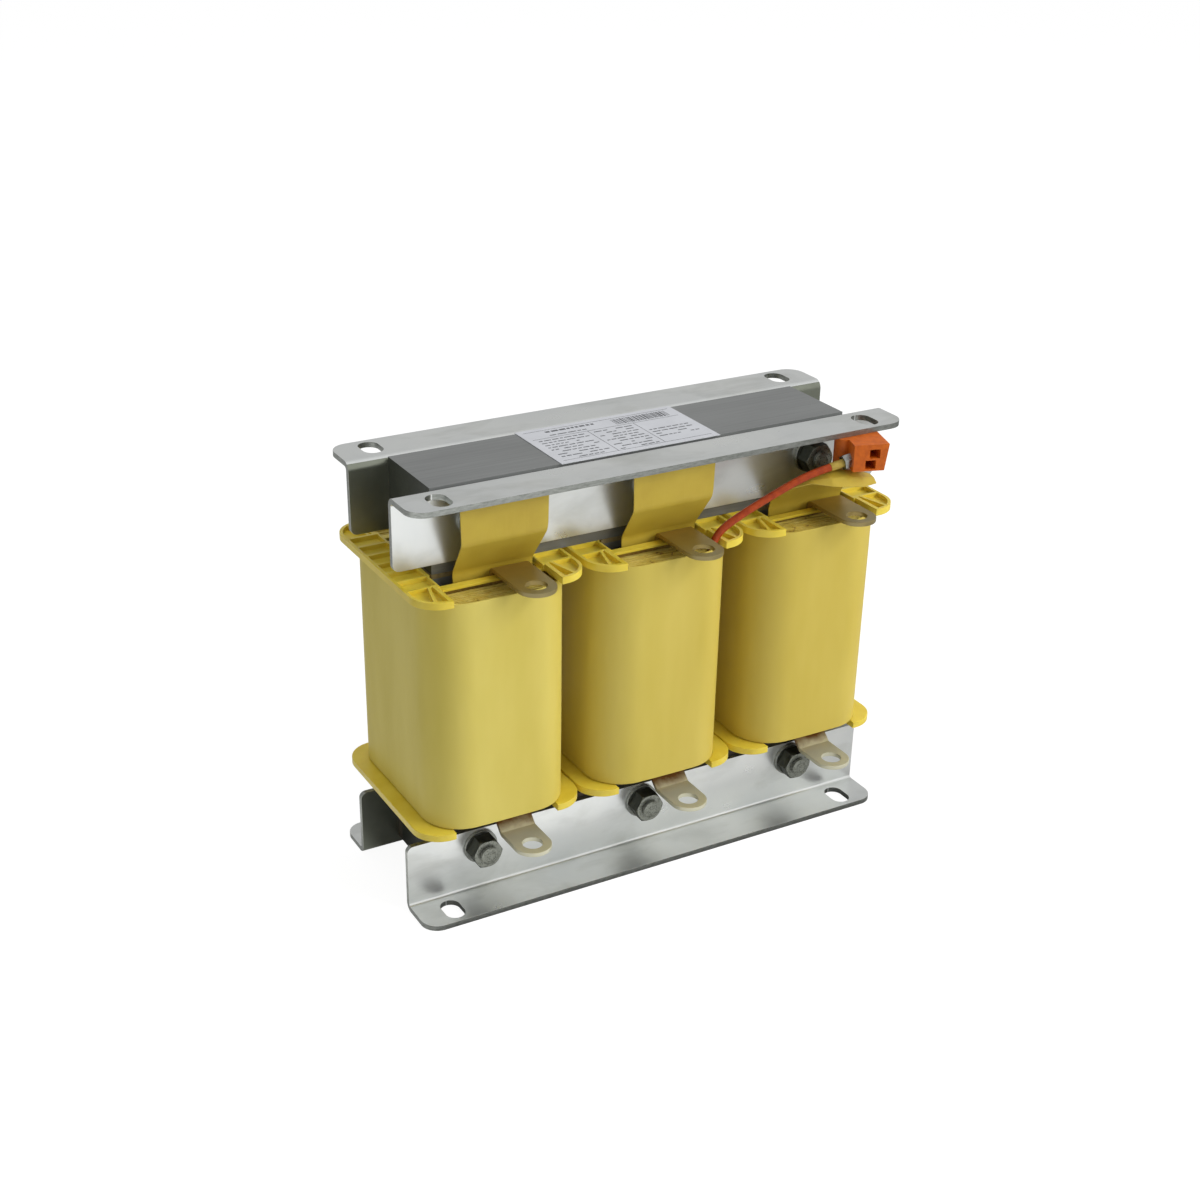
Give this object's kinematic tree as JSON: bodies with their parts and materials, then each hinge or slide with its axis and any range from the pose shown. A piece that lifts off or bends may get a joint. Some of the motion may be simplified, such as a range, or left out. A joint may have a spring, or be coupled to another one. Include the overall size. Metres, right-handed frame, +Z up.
{
  "type": "three-phase harmonic filter reactor",
  "caption": "Laminated core with wound limbs side by side, clamped between flanged steel angles, with flat drilled terminals above and below the coils",
  "frame": {"origin": "under the middle of the whole outline, on the plane that the feet stand on", "axes": "+X along the core, -Y towards the side with the terminals, +Z up"},
  "size_m": [0.24, 0.108, 0.1943],
  "materials": {
    "core_steel": "stacked electrical steel sheets, dull grey",
    "galvanised_steel": "bright zinc, satin with soft reflections",
    "fastener_steel": "dark passivated zinc, satin",
    "washer_steel": "zinc, dull",
    "winding_foil": "foil turns with brown insulation between them",
    "wrap_film": "smooth pale yellow insulating wrap",
    "moulded_yellow": "yellow moulded plastic, slightly glossy",
    "sheet_yellow": "yellow insulating sheet, smooth",
    "tube_board": "insulating board",
    "gap_board": "resin board",
    "spacer_board": "dark resin board, matt",
    "tinned_copper": "tinned copper, satin",
    "block_orange": "orange moulded plastic",
    "collar_steel": "nickel plated, bright",
    "lead_red": "red-brown cable sheath",
    "sleeve_yellow": "pale yellow sleeve",
    "label_white": "plain printed label without words"
  },
  "bodies": {
    "root": {"upper_yoke": "core_steel", "lower_yoke": "core_steel", "limb_left": "core_steel", "lower_gap_pad_left": "gap_board", "upper_gap_pad_left": "gap_board", "coil_tube_left": "tube_board", "winding_left": "winding_foil", "outer_wrap_left": "wrap_film", "upper_end_frame_left": "moulded_yellow", "upper_terminal_left": "tinned_copper", "lower_end_frame_left": "moulded_yellow", "lower_terminal_left": "tinned_copper", "insulation_sheet_left": "sheet_yellow", "limb_centre": "core_steel", "lower_gap_pad_centre": "gap_board", "upper_gap_pad_centre": "gap_board", "coil_tube_centre": "tube_board", "winding_centre": "winding_foil", "outer_wrap_centre": "wrap_film", "upper_end_frame_centre": "moulded_yellow", "upper_terminal_centre": "tinned_copper", "lower_end_frame_centre": "moulded_yellow", "lower_terminal_centre": "tinned_copper", "insulation_sheet_centre": "sheet_yellow", "limb_right": "core_steel", "lower_gap_pad_right": "gap_board", "upper_gap_pad_right": "gap_board", "coil_tube_right": "tube_board", "winding_right": "winding_foil", "outer_wrap_right": "wrap_film", "upper_end_frame_right": "moulded_yellow", "upper_terminal_right": "tinned_copper", "lower_end_frame_right": "moulded_yellow", "lower_terminal_right": "tinned_copper", "insulation_sheet_right": "sheet_yellow", "upper_front_angle": "galvanised_steel", "upper_rear_angle": "galvanised_steel", "lower_front_angle": "galvanised_steel", "lower_rear_angle": "galvanised_steel", "front_spacer_strip": "spacer_board", "rear_spacer_strip": "spacer_board", "through_bolts": "fastener_steel", "hex_nuts": "fastener_steel", "plain_washers": "washer_steel", "terminal_block": "block_orange", "cable_collar": "collar_steel", "sensor_lead": "lead_red", "lead_sleeve": "sleeve_yellow", "rating_label": "label_white"}
  },
  "joints": []
}
